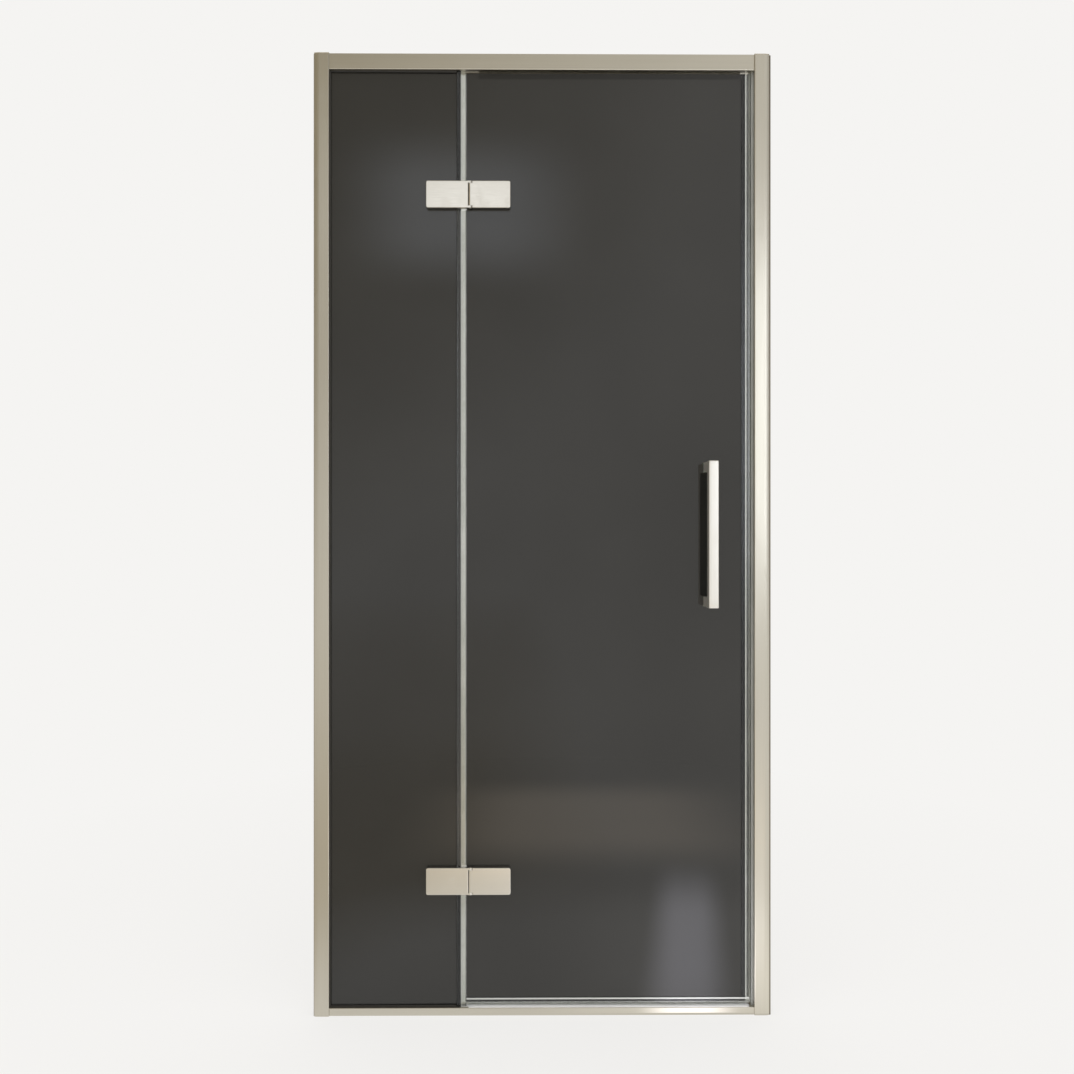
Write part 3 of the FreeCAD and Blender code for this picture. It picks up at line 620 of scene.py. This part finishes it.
# %% Drill the inner grip for its grub screws
drill_depth = 16 * mm
drill_play = 0.1 * mm
grub_low, grub_high = node_box("handle_grub_screws")
grub_radius = (grub_high.x - grub_low.x) / 2
grub_middle = (grub_low + grub_high) / 2
for end_z, inwards in ((grub_low.z, 1), (grub_high.z, -1)):
    bpy.ops.object.select_all(action="DESELECT")
    bpy.ops.mesh.primitive_cylinder_add(
        vertices=32,
        radius=grub_radius + drill_play,
        depth=drill_depth,
        location=(grub_middle.x, grub_middle.y, end_z + inwards * drill_depth / 2),
    )
    drill = bpy.context.object
    bpy.context.view_layer.objects.active = inner_grip
    apply_modifier(inner_grip, "BOOLEAN", object=drill, operation="DIFFERENCE", solver="EXACT")
    bpy.data.objects.remove(drill)
hand_over(inner_grip, grip_metal, "handle_nickel", "door", "inner_handle")

# %% [markdown]
# ## The glazing gaskets
# The fixed pane is held in the stile and both rails by a strip of black rubber on each side.
# Only a lip of 2.5 mm shows, rounded where it meets the glass. The strip runs round three
# sides of the pane. A flat sheet with a window inset in it gives its mitred corners at
# once: the sheet is made too wide, the window is cut out, the end is cut off where the pane
# has its free edge, and the rest is pulled to its thickness.

# %% Model both glazing gaskets
gasket_width = 10.5 * mm
lip_round = 1.1 * mm
standing = (math.radians(90), 0, 0)


def model_gasket(name, node, outwards):
    """A gasket round three sides, outwards being -1 for the front and 1 for the back."""
    low, high = node_box(node)
    skin = low.y if outwards < 0 else high.y
    inside = high.y if outwards < 0 else low.y
    wide = high.x - low.x + gasket_width
    middle = (low.x + wide / 2, inside, (low.z + high.z) / 2)
    piece = add_plane(name, middle, (wide, 1, high.z - low.z), standing)
    bpy.ops.mesh.inset(thickness=gasket_width)
    bpy.ops.mesh.delete(type="FACE")
    cut((high.x, 0, 0), (1, 0, 0), clear_outer=True)
    pull_all(y=skin - inside)
    bpy.ops.mesh.select_all(action="SELECT")
    bpy.ops.mesh.normals_make_consistent(inside=False)
    lip_x = low.x + gasket_width
    lip_low = low.z + gasket_width
    lip_high = high.z - gasket_width

    def on_lip(at, way):
        if not near(at.y, skin) or abs(way.y) > 0.5:
            return False
        upright = near(at.x, lip_x)
        level = near(at.z, lip_low) or near(at.z, lip_high)
        return upright or (level and at.x > lip_x)

    pick("EDGE", on_lip)
    bpy.ops.mesh.bevel(offset=lip_round, segments=4, affect="EDGES")
    leave_edit()
    hand_over(piece, rubber, "dark_gasket", "frame", node)


model_gasket("front_glazing_gasket", "glazing_gasket_front", -1)
model_gasket("back_glazing_gasket", "glazing_gasket_back", 1)

# %% [markdown]
# ## The seals on the fixed pane
# A clear seal clips over the pane's free edge and fills the gap to the leaf with a soft
# hollow bulb. It is one section pushed through a die, so it is drawn once from above, as the
# middle line of its wall, pulled up to its length, and given a wall of 1.2 mm, half to each
# side of the line. The bulb is a rectangle with its two outer corners rounded, and the clip
# is two legs that grow back from its other corners. Three lengths fill the edge above,
# between and below the hinges.

# %% Model the three panel seals
vinyl_wall = 1.2 * mm
half_wall = vinyl_wall / 2
bulb_round = 2.6 * mm
clip_lip = 0.5 * mm
clip_flare = 0.3 * mm


def finish_seal(piece, finish, body, node):
    """Gives the drawn middle line of a seal its wall, and hands the seal over."""
    leave_edit()
    mode = "NON_MANIFOLD"
    apply_modifier(piece, "SOLIDIFY", solidify_mode=mode, thickness=vinyl_wall, offset=0.0)
    hand_over(piece, finish, "clear_seal", body, node)


def model_panel_seal(part):
    """One length of the seal on the pane's free edge: lower, middle or upper."""
    node = "panel_seal_" + part
    low, high = node_box(node)
    edge = panel_edge + half_wall
    piece = add_outline(
        "clear_panel_seal_" + part,
        (edge, low.y + half_wall, low.z),
        (high.x - half_wall, high.y - half_wall, low.z),
    )
    pick("VERT", lambda at, way: near(at.x, high.x - half_wall))
    bpy.ops.mesh.bevel(offset=bulb_round, segments=5, affect="VERTICES")
    pick("VERT", lambda at, way: near(at.x, edge))
    pull(x=low.x + clip_lip - edge)
    for side in (-1, 1):
        pick("VERT", lambda at, way: near(at.x, low.x + clip_lip) and at.y * side > 0)
        pull(x=-clip_lip, y=side * clip_flare)
    pick("EDGE", lambda at, way: near(at.x, low.x + clip_lip) and abs(way.y) > along)
    bpy.ops.mesh.delete(type="EDGE")
    pull_all(z=high.z - low.z)
    finish_seal(piece, vinyl_upright, "frame", node)


for part in ("lower", "middle", "upper"):
    model_panel_seal(part)

# %% [markdown]
# ## The closing seal
# The leaf's closing edge has its own clear seal: a clip over the glass and a chamber that
# holds a strip of magnet. The magnet stays the CAD solid, because it is a plain bar. Again
# the section is the middle line of the wall: the chamber first, then the step out to the clip
# and its two legs, and one more wall across the chamber that keeps the magnet at its nose.

# %% Model the closing seal
nose_round = 0.8 * mm
low, high = node_box("closing_seal")
magnet_low, magnet_high = node_box("closing_magnet")
chamber_back = leaf_high.x + half_wall
chamber_half = magnet_high.y + half_wall
clip_half = high.y - half_wall
closing_seal = add_outline(
    "clear_closing_seal",
    (chamber_back, -chamber_half, low.z),
    (high.x - half_wall, chamber_half, low.z),
)
keeper_x = magnet_low.x - half_wall
cut((keeper_x, 0, 0), (1, 0, 0))
pick("VERT", lambda at, way: near(at.x, keeper_x))
bpy.ops.mesh.edge_face_add()
pick("VERT", lambda at, way: near(at.x, high.x - half_wall))
bpy.ops.mesh.bevel(offset=nose_round, segments=3, affect="VERTICES")
for side in (-1, 1):
    pick("VERT", lambda at, way: near(at.x, chamber_back) and at.y * side > 0)
    pull(y=side * (clip_half - chamber_half))
    pull(x=low.x - chamber_back)
pull_all(z=high.z - low.z)
finish_seal(closing_seal, vinyl_upright, "door", "closing_seal")

# %% [markdown]
# ## The jamb profile
# Opposite the leaf, a clear profile pressed into the right stile holds the second magnet,
# and a thin stop behind it keeps the leaf from swinging inwards. Its middle line is a seat
# inside the stile, a nose pulled out of the seat's face, and the stop pulled out of the
# seat's corner.

# %% Model the jamb profile
beside_nose = 0.1 * mm
low, high = node_box("jamb_profile")
jamb_magnet_low, jamb_magnet_high = node_box("jamb_magnet")
stile_edge = node_box("stile_right")[0].x
nose_half = jamb_magnet_high.y + half_wall
nose_face = jamb_magnet_low.x - half_wall
seat_face = stile_edge + half_wall
jamb = add_outline(
    "clear_jamb_profile",
    (seat_face, low.y + half_wall, low.z),
    (high.x - half_wall, high.y - half_wall, low.z),
)
for depth in (-nose_half, nose_half):
    cut((0, depth, 0), (0, 1, 0))
pick("VERT", lambda at, way: near(at.x, seat_face) and abs(at.y) < nose_half + beside_nose)
pull(x=nose_face - seat_face)
pick("VERT", lambda at, way: near(at.x, nose_face))
bpy.ops.mesh.bevel(offset=nose_round, segments=3, affect="VERTICES")
pick("VERT", lambda at, way: near(at.x, seat_face) and at.y > nose_half + beside_nose)
pull(x=low.x - seat_face)
pull_all(z=high.z - low.z)
finish_seal(jamb, vinyl_thick, "frame", "jamb_profile")

# %% [markdown]
# ## The bottom seal
# Under the leaf, a clear seal grips the glass, hangs a lip over the water bar, and has a
# slanted fin on the shower side that throws drops back inside. Its section lies in the
# YZ plane: a U round the glass, a lip from the middle of its web, and the fin from its
# corner. It is then pulled along the width of the leaf. The ends of the U are a softer,
# milky vinyl, drawn together with the clear one, and they read as a thin light line. So
# each leg is cut level once, and the faces above the cut get the second material.

# %% Model the bottom seal
milky_height = 2.8 * mm
fin_knee = 0.42
low, high = node_box("bottom_seal")
web = leaf_low.z - half_wall
leg_y = -low.y - half_wall
milky_from = high.z - milky_height
bottom_seal = add_outline(
    "clear_bottom_seal",
    (low.x, -leg_y, web),
    (low.x, leg_y, high.z),
    turn=(0, math.radians(90), 0),
)
pick("EDGE", lambda at, way: near(at.z, high.z))
bpy.ops.mesh.delete(type="EDGE")
cut((0, 0, 0), (0, 1, 0))
pick("VERT", lambda at, way: near(at.y, 0) and near(at.z, web))
pull(z=low.z - web)
pick("VERT", lambda at, way: near(at.y, leg_y) and near(at.z, web))
fin_out = (high.y - leg_y) / 2
fin_down = low.z - web
pull(y=fin_out, z=fin_down * fin_knee)
pull(y=fin_out - half_wall, z=fin_down * (1 - fin_knee) + half_wall)
pull_all(x=high.x - low.x)
cut((0, 0, milky_from), (0, 0, 1))
finish_seal(bottom_seal, vinyl_level, "door", "bottom_seal")
bottom_seal.data.materials.append(vinyl_lip)
for face in bottom_seal.data.polygons:
    face.material_index = int(face.center.z > milky_from)

# %% [markdown]
# ## The stop seal over the leaf
# A soft strip on the hanging stop takes the leaf's last touch at the top. It is a bar with a
# rounded nose towards the glass, so its two long front edges are bevelled until they meet in
# a half round.

# %% Model the stop seal
low, high = node_box("top_stop_seal")
stop_seal = add_box("clear_stop_seal", low, high)
pick("EDGE", lambda at, way: near(at.y, low.y) and abs(way.x) > along)
half_round = min((high.y - low.y) * 0.8, (high.z - low.z) * 0.45)
bpy.ops.mesh.bevel(offset=half_round, segments=5, affect="EDGES")
leave_edit()
hand_over(stop_seal, vinyl_lip, "clear_seal", "frame", "top_stop_seal")

# %% [markdown]
# The stop ends short of the hinge side, where the leaf's back corner swings past it. A small
# moulded cap closes its end and reaches over the leaf's top edge to the panel seal, thin
# enough for the leaf to turn below it. It is a flat box with its lower edges eased.

# %% Model the end cap of the stop
beside_seal = 0.2 * mm
over_leaf = 0.7 * mm
seal_high = node_box("panel_seal_upper")[1]
stop_high = node_box("top_stop_profile")[1]
under_rail = node_box("top_rail")[0].z
cap_under = leaf_high.z + over_leaf
end_cap = add_box(
    "stop_end_cap",
    (seal_high.x + beside_seal, low.y, cap_under),
    (low.x, stop_high.y, under_rail),
)
pick("EDGE", lambda at, way: at.z < cap_under + 0.1 * mm)
bpy.ops.mesh.bevel(offset=0.5 * mm, segments=3, affect="EDGES")
leave_edit()
hand_over(end_cap, abs_plastic, "grey_plastic", "frame")

# %% [markdown]
# ## The water bar
# A thin white bar lies on the bottom rail under the leaf and keeps water in. It is drawn
# aluminium with two shallow drain grooves and rounded long edges, on a stem that is
# pressed into the rail. The grooves are strips marked by cuts and pushed down. Each end has
# a small cap of the same section with eased edges.

# %% Model the water bar
cap_length = 12 * mm
groove_from = 7.2 * mm
groove_to = 8.4 * mm
groove_depth = 0.4 * mm
bar_round = 0.45 * mm
stem_half = 7 * mm
low, high = node_box("water_bar")
rail_top = node_box("bottom_rail")[1].z
cap_low, cap_high = node_box("water_bar_caps")
bar = add_box(
    "bright_water_bar",
    (cap_low.x + cap_length, low.y, rail_top),
    (cap_high.x - cap_length, high.y, high.z),
)
for depth in (-groove_to, -groove_from, groove_from, groove_to):
    cut((0, depth, 0), (0, 1, 0))
pick("FACE", lambda at, way: way.z > along and groove_from < abs(at.y) < groove_to)
pull(z=-groove_depth)


def on_long_edge(at, way):
    """On one of the two long edges at the top of the bar."""
    return abs(way.x) > along and near(abs(at.y), high.y) and near(at.z, high.z)


pick("EDGE", on_long_edge)
bpy.ops.mesh.bevel(offset=bar_round, segments=4, affect="EDGES")
leave_edit()
stem = add_box("stem", (low.x, -stem_half, low.z), (high.x, stem_half, rail_top))
leave_edit()
bar.select_set(True)
bpy.context.view_layer.objects.active = bar
bpy.ops.object.join()
hand_over(bar, bright_bar, "polished_bar", "frame", "water_bar")

# %% [markdown]
# The caps start as boxes too. The two corners at the far end are rounded from above, an inset
# marks a rim on the top, and the outer edges of that rim are eased. The second cap is a copy,
# turned by half a turn about the middle of the bar.

# %% Model the caps of the water bar
corner_round = 2.0 * mm
rim_width = 0.7 * mm
rim_round = 0.5 * mm
first_cap = add_box(
    "water_bar_cap_left", cap_low, (cap_low.x + cap_length, cap_high.y, cap_high.z)
)
pick("EDGE", lambda at, way: abs(way.z) > along and at.x < cap_low.x + 1 * mm)
bpy.ops.mesh.bevel(offset=corner_round, segments=5, affect="EDGES")
pick("FACE", lambda at, way: way.z > along)
bpy.ops.mesh.inset(thickness=rim_width)


def on_rim(at, way):
    """On the top rim of the cap, but for the end at the bar and the inset edges inside it."""
    along_side = near(at.y, cap_high.y) or near(at.y, cap_low.y)
    round_end = at.x < cap_low.x + corner_round + 0.1 * mm
    just_in = rim_width - same_within
    inside = abs(at.y) < cap_high.y - just_in and at.x > cap_low.x + just_in
    return near(at.z, cap_high.z) and (along_side or round_end) and not inside


pick("EDGE", on_rim)
bpy.ops.mesh.bevel(offset=rim_round, segments=3, affect="EDGES")
leave_edit()
second_cap = copy_of(first_cap, "water_bar_cap_right")
bar_middle = ((cap_low.x + cap_high.x) / 2, 0, 0)
bpy.ops.transform.rotate(value=math.pi, orient_axis="Z", center_override=bar_middle)
settle()
hand_over(first_cap, bright_bar, "polished_bar", "frame", "water_bar_caps")
hand_over(second_cap, bright_bar, "polished_bar", "frame", "water_bar_caps")

# %% [markdown]
# ## Covers over the stile screws
# Inside the shower, each screw that ties a stile to its wall channel is hidden by a snap-on
# ABS cover: a low dome with a soft rim and a shallow dish in its top. The cover is a cylinder
# whose rim is bevelled and whose top is inset and pushed in twice. It is modelled once and
# copied to the other five screws, each copy with its own mesh.

# %% Model one cover and copy it
cover_radius = 5.5 * mm
covers_low, covers_high = node_box("stile_screw_caps")
cover_height = covers_high.y - covers_low.y
left_x, right_x = covers_low.x + cover_radius, covers_high.x - cover_radius
low_z, high_z = covers_low.z + cover_radius, covers_high.z - cover_radius
bpy.ops.object.select_all(action="DESELECT")
bpy.ops.mesh.primitive_cylinder_add(
    vertices=48,
    radius=cover_radius,
    depth=cover_height,
    location=(left_x, covers_low.y + cover_height / 2, low_z),
    rotation=(math.radians(-90), 0, 0),
)
cover = bpy.context.object
cover.name = cover.data.name = "screw_cover_1"
settle()
bpy.ops.object.mode_set(mode="EDIT")
pick("EDGE", lambda at, way: near(at.y, covers_high.y))
bpy.ops.mesh.bevel(offset=1.3 * mm, segments=5, affect="EDGES")
pick("FACE", lambda at, way: way.y > 0.99 and at.y > covers_high.y - 0.01 * mm)
for inset, dish in ((1.4 * mm, 0.25 * mm), (0.5 * mm, 0.15 * mm)):
    bpy.ops.mesh.inset(thickness=inset)
    bpy.ops.transform.translate(value=(0, -dish, 0))
leave_edit()

covers = [cover]
spots = [(x, z) for x in (left_x, right_x) for z in (low_z, (low_z + high_z) / 2, high_z)]
for number, (x, z) in enumerate(spots[1:], 2):
    copy = copy_of(cover, "screw_cover_" + str(number))
    copy.location = (x - left_x, 0, z - low_z)
    settle()
    covers.append(copy)
for copy in covers:
    hand_over(copy, abs_plastic, "grey_plastic", "frame", "stile_screw_caps")

# %% [markdown]
# ## The room
# The photograph has the door on a plain pale ground, with no line between floor and wall.
# A wide floor whose colour is the world's own colour gives that from every side. Near the
# door the floor is partly a real matt surface, so that it takes the soft shadow of the
# frame, and further out it is only the ground's colour. The same holds for what metal and
# glass show of it, so the test for a camera ray also lets glossy and transmitted rays in.
# Metal shows one thing more: the floor of a real room is warmer and dimmer on the side away
# from the light, which is the left here. So glossy rays meet a floor that darkens to the
# left, from half a metre out to a few metres, and is plain again towards the horizon.

# %% Floor
ground = "#F5F4F2"
dim_floor = "#C6BDAB"
floor_radius = 24
floor_drop = 0.5 * mm


def backdrop_rays(tree):
    """What tells glossy rays, and all that see the plain ground: camera, glossy, transmitted."""
    path = add_node(tree, "ShaderNodeLightPath")
    seen = path.outputs["Is Camera Ray"]
    for ray in ("Is Glossy Ray", "Is Transmission Ray"):
        links = {0: seen, 1: path.outputs[ray]}
        seen = add_node(tree, "ShaderNodeMath", {"operation": "MAXIMUM"}, links).outputs[0]
    return path.outputs["Is Glossy Ray"], seen


bpy.ops.object.select_all(action="DESELECT")
bpy.ops.mesh.primitive_circle_add(vertices=96, radius=floor_radius, fill_type="NGON")
floor = bpy.context.object
floor.name = "floor"
floor.location.z = -floor_drop
floor_finish = bpy.data.materials.new("pale matt floor")
tree = empty_tree(floor_finish)
place = add_node(tree, "ShaderNodeTexCoord").outputs["Object"]
across = add_node(tree, "ShaderNodeSeparateXYZ", links={0: place}).outputs["X"]
settings = {"operation": "LENGTH"}
away = add_node(tree, "ShaderNodeVectorMath", settings, {0: place}).outputs["Value"]
glossy, seen = backdrop_rays(tree)
matt_floor = add_node(tree, "ShaderNodeBsdfDiffuse", {"Color": colour(ground)})
shown = toned(
    tree,
    ground,
    dim_floor,
    (across, -0.25, 0.25, 1.0, 0.0),  # metres: on the left alone
    (away, 0.45, 0.85, 0.0, 1.0),  # not right under the door
    (away, 1.2, 3.0, 1.0, 0.5),  # weaker further out
    (away, 3.0, 14.0, 1.0, 0.0),  # plain again at the horizon
    seen_by=glossy,
)
glow = add_node(tree, "ShaderNodeEmission", {"Strength": 1.0}, {"Color": shown})
plain_share = follow(tree, "MULTIPLY", [(away, 0.7, 2.2, 0.82, 1.0)], seen)
links = {0: plain_share, 1: matt_floor.outputs[0], 2: glow.outputs[0]}
mixed = add_node(tree, "ShaderNodeMixShader", links=links)
add_node(tree, "ShaderNodeOutputMaterial", links={"Surface": mixed.outputs[0]})
floor.data.materials.append(floor_finish)
print("floor made")

# %% [markdown]
# A real room is a little darker in one upper corner and past the lamp on one side, and a metal
# frame shows that as a slow change from grey-brown to pale along its length, and as a dark
# roll round its right edge. The world gets such a corner, up and to the left behind the
# camera, and such a side: the closer a ray's direction is to them, the dimmer the ground
# that glossy rays see. The camera itself sees the plain ground, at full strength, and the
# light that the world gives is a little dimmer, which leaves room for the lamps.

# %% World
dim_corner = "#A0967F"
dim_side = "#6E675A"
room_strength = 0.85
world = bpy.data.worlds.new("pale room")
bpy.context.scene.world = world
tree = empty_tree(world)
glossy, seen = backdrop_rays(tree)
toward = add_node(tree, "ShaderNodeTexCoord").outputs["Generated"]
corner = Vector((-0.5, -0.6, 0.62)).normalized()
settings = {"operation": "DOT_PRODUCT", 1: corner}
facing = add_node(tree, "ShaderNodeVectorMath", settings, {0: toward}).outputs["Value"]
across = add_node(tree, "ShaderNodeSeparateXYZ", links={0: toward}).outputs["X"]
near_corner = (facing, 0.67, 0.91, 0.0, 1.0)  # from 48 degrees off the corner to 24
to_the_side = (across, 0.42, 0.78, 0.0, 1.0)  # from 25 degrees off the front to 51
shown = toned(tree, ground, dim_corner, near_corner, seen_by=glossy)
shown = toned(tree, shown, dim_side, to_the_side, seen_by=glossy)
backdrop = add_node(tree, "ShaderNodeBackground", {"Strength": 1.0}, {"Color": shown})
settings = {"Color": colour(ground), "Strength": room_strength}
room = add_node(tree, "ShaderNodeBackground", settings)
links = {0: seen, 1: room.outputs[0], 2: backdrop.outputs[0]}
mixed = add_node(tree, "ShaderNodeMixShader", links=links)
add_node(tree, "ShaderNodeOutputWorld", links={"Surface": mixed.outputs[0]})
print("world made")

# %% [markdown]
# ## The lamps
# Soft boxes do the rest. A tall one to the right, a little above the camera, is what the
# right stile and the grip show as a long bright patch. One high behind the camera brightens
# the upper hinge, and one overhead gives the soft shadows under the hinges. The overhead one
# is hidden from glossy rays, so it lights the door without showing in metal or glass.
#
# Three more lie on the floor. A warm reflector in front of the door shows in the glass as a
# faint warm band. A small light near the threshold lifts the bottom rail and the foot of the
# right stile. The narrow foot light runs towards the camera, and it is turned a little, so
# that its mirror image stands upright in the glass. All are large and dim enough that a
# colour still renders about as it is written. Each fades towards its rim, as cloth over a
# frame does, so no hard edge shows in the glass.

# %% Soft boxes


def soft_box(name, place, aim, width, height, watts, rim=0.2, tint="#FFFFFF"):
    """An area lamp that fades out over its rim, a share of its width and height."""
    data = bpy.data.lights.new(name, "AREA")
    data.shape = "RECTANGLE"
    data.size = width
    data.size_y = height
    data.energy = watts
    tree = empty_tree(data)
    across = add_node(tree, "ShaderNodeNewGeometry").outputs["Parametric"]
    sides = add_node(tree, "ShaderNodeSeparateXYZ", links={0: across})
    fades = []
    for side in ("X", "Y"):
        settings = {"operation": "PINGPONG", 1: 0.5}
        inwards = add_node(tree, "ShaderNodeMath", settings, {0: sides.outputs[side]}).outputs[0]
        settings = {"interpolation_type": "SMOOTHSTEP", "From Max": rim}
        fades.append(add_node(tree, "ShaderNodeMapRange", settings, {"Value": inwards}))
    links = {0: fades[0].outputs[0], 1: fades[1].outputs[0]}
    fade = add_node(tree, "ShaderNodeMath", {"operation": "MULTIPLY"}, links).outputs[0]
    settings = {"Color": colour(tint)}
    glow = add_node(tree, "ShaderNodeEmission", settings, {"Strength": fade})
    add_node(tree, "ShaderNodeOutputLight", links={"Surface": glow.outputs[0]})
    lamp = bpy.data.objects.new(name, data)
    lamp.location = place
    lamp.rotation_euler = (Vector(aim) - Vector(place)).to_track_quat("-Z", "Y").to_euler()
    lamp.visible_camera = False
    bpy.context.scene.collection.objects.link(lamp)
    print(name, "W:", watts)
    return lamp


cool = "#EAF2FF"
warm = "#FFEBD2"
faint_violet = "#F1F0FF"
soft_box(
    "right soft box", place=(1.55, -3.0, 1.65), aim=(0.8, 0, 1.2),
    width=0.9, height=2.2, watts=18.5, tint=cool,
)
soft_box(
    "hinge soft box", place=(-0.4, -3.0, 2.75), aim=(-0.25, 0, 1.7),
    width=1.5, height=0.9, watts=4.7, rim=0.4, tint=cool,
)
overhead = soft_box(
    "overhead soft box", place=(0, -0.5, 3.4), aim=(0, -0.3, 0),
    width=2.4, height=1.8, watts=40,
)
overhead.visible_glossy = False
soft_box(
    "floor reflector", place=(0.17, -1.32, 0.002), aim=(0.17, -1.32, 1.0),
    width=1.4, height=1.1, watts=4.4, rim=0.35, tint=warm,
)
soft_box(
    "threshold light", place=(0.42, -0.3, 0.003), aim=(0.42, -0.3, 1.0),
    width=1.0, height=0.9, watts=0.8, rim=0.35,
)
foot_light = soft_box(
    "foot light", place=(0.36, -0.34, 0.004), aim=(0.36, -0.34, 1.0),
    width=0.23, height=1.2, watts=1.9, rim=0.4, tint=faint_violet,
)
mirror_slant = math.radians(9.9)
foot_light.rotation_euler.z += mirror_slant

# %% The end of the scene
print("scene built")
